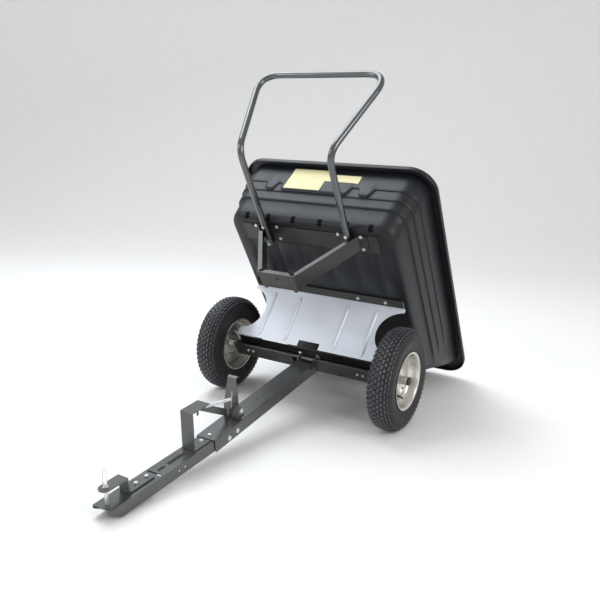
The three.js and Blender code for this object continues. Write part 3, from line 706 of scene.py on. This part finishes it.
def latch_spring():
    start, end = Vector((3, -668, 115)), Vector((3, -519, 72))
    line = coil_line(start.lerp(end, 0.04), start.lerp(end, 0.93), 4.4, 58, 12)
    hooks = [start, *line, end]
    shape = Shape()
    shape.add(*swept(hooks, 1.25, 8))
    mesh = bpy.data.meshes.new("latch_spring_coil")
    mesh.from_pydata([REAR_FRAME @ corner for corner in shape.corners], [], shape.faces)
    mesh.polygons.foreach_set("use_smooth", [True] * len(mesh.polygons))
    mesh.materials.append(MATERIALS["zinc"])
    coil = bpy.data.objects.new("latch_spring_coil", mesh)
    bpy.context.scene.collection.objects.link(coil)
    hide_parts("latch_spring")
    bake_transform(coil)


# ---- putting the cart together --------------------------------------------------------------------
BODIES = frame["record"]["behaviour"]["bodies"]
BODY_OF = {node: body for body, nodes in BODIES.items() for node in nodes}
SLOT_OF = {part["node"]: part["material_slot"] for part in frame["record"]["subparts"]}

tub()
channel_ends()
label()
handle()
panel_ribs()
beam_nuts()
for side_name, side_sign in SIDES:
    tyre(side_name, side_sign)
    rim(side_name, side_sign)
hitch()
latch_spring()

# Steel sheet pieces: the CAD's shape, with rounded edges.
STEEL = ("tongue_rear_channel", "tongue_front_channel", "hitch_strap", "latch_bracket",
         "latch_brace", "latch_pivot_bracket", "latch_lever", "tub_front_bracket", "v_brace",
         "wheel_panel", "rear_cross_strip", "axle_beam", "axle_bracket_left", "axle_bracket_right")
for steel_node in STEEL:
    rounded_steel(steel_node, BODY_OF[steel_node], SLOT_OF[steel_node])

TUB_UP = TUB_FRAME.to_3x3() @ Vector((0, 0, 1))
FRONT_DOWN = FRONT_FRAME.to_3x3() @ Vector((0, 0, -1))
REAR_DOWN = REAR_FRAME.to_3x3() @ Vector((0, 0, -1))
ACROSS = Vector((-1, 0, 0))
for number, node in enumerate(sorted(frame["nodes"])):
    if "_bolt" not in node and node != "latch_pivot_pin":
        continue
    if node.startswith("tongue_side") or node == "latch_pivot_pin":
        bolt_axis = ACROSS
    elif node in ("tongue_top_bolt", "pivot_bracket_bolt"):
        bolt_axis = REAR_DOWN
    elif BODY_OF[node] == "chassis":
        bolt_axis = FRONT_DOWN
    else:
        bolt_axis = TUB_UP
    detailed_bolt(node, BODY_OF[node], bolt_axis, number * 23)

for node, solid in frame["nodes"].items():
    if not solid.hide_render:
        solid.data.materials.clear()
        solid.data.materials.append(MATERIALS[SLOT_OF[node]])


# ---- floor, lights and camera ---------------------------------------------------------------------
CAMERA_HEADING = 31  # degrees around the cart from straight ahead


def backdrop():
    """A pale floor that curves up into a wall far behind the cart."""
    run = [(-9, 0), (4, 0), (5.2, 0.18), (6.2, 0.8), (6.8, 1.8), (7, 3.2), (7, 12)]
    smooth = softened(run, 3, 8)
    corners, faces = [], []
    heading = Matrix.Rotation(math.radians(CAMERA_HEADING), 3, "Z")
    for point in smooth:
        for x in (-14, 14):
            corners.append(heading @ Vector((x, point.x, point.y)))
    for i in range(len(smooth) - 1):
        faces.append([2 * i, 2 * i + 1, 2 * i + 3, 2 * i + 2])
    mesh = bpy.data.meshes.new("studio_floor")
    mesh.from_pydata(corners, [], faces)
    mesh.polygons.foreach_set("use_smooth", [True] * len(mesh.polygons))
    pale = material("pale_floor", (0.93, 0.93, 0.93), 0.9, grain=40, bump=0.02, wear=0.01)
    mesh.materials.append(pale)
    floor = bpy.data.objects.new("studio_floor", mesh)
    floor.location.z = CAD_LOW.z - 0.0005
    bpy.context.scene.collection.objects.link(floor)


def softbox(name, place, target, size, power, color):
    lamp = bpy.data.lights.new(name, "AREA")
    lamp.color = color
    lamp.shape = "SQUARE"
    lamp.size = size
    lamp.energy = power
    holder = bpy.data.objects.new(name, lamp)
    holder.location = place
    holder.rotation_euler = (Vector(target) - Vector(place)).to_track_quat("-Z", "Y").to_euler()
    bpy.context.scene.collection.objects.link(holder)


def studio():
    world = bpy.data.worlds.new("studio")
    world.use_nodes = True
    background = world.node_tree.nodes["Background"]
    background.inputs["Color"].default_value = (1, 1, 1, 1)
    background.inputs["Strength"].default_value = 0.62
    bpy.context.scene.world = world
    bpy.context.scene.view_settings.view_transform = "Standard"
    softbox("overhead", (-1.7, 0.5, 4.0), (0, 0, 0.5), 2.8, 115, (0.88, 0.94, 1.0))
    softbox("front_left", (-3.2, -3.4, 2.8), (0, 0, 0.5), 1.6, 45, (1.0, 0.98, 0.95))
    softbox("right", (3.6, -0.6, 2.4), (0, 0.2, 0.4), 1.6, 50, (1.0, 0.97, 0.93))


def camera():
    lens = bpy.data.cameras.new("photo_view")
    lens.lens = 41.93
    lens.sensor_width = 36
    holder = bpy.data.objects.new("photo_view", lens)
    right = Vector((0.852679, 0.520629, 0.043404))
    up = Vector((-0.149109, 0.162898, 0.975310))
    ahead = Vector((-0.500705, 0.838098, -0.216531))
    turn = Matrix((right, up, -ahead)).transposed().to_4x4()
    holder.matrix_world = Matrix.Translation((1.36575, -2.19228, 1.05413)) @ turn
    bpy.context.scene.collection.objects.link(holder)
    bpy.context.scene.camera = holder


backdrop()
studio()
camera()
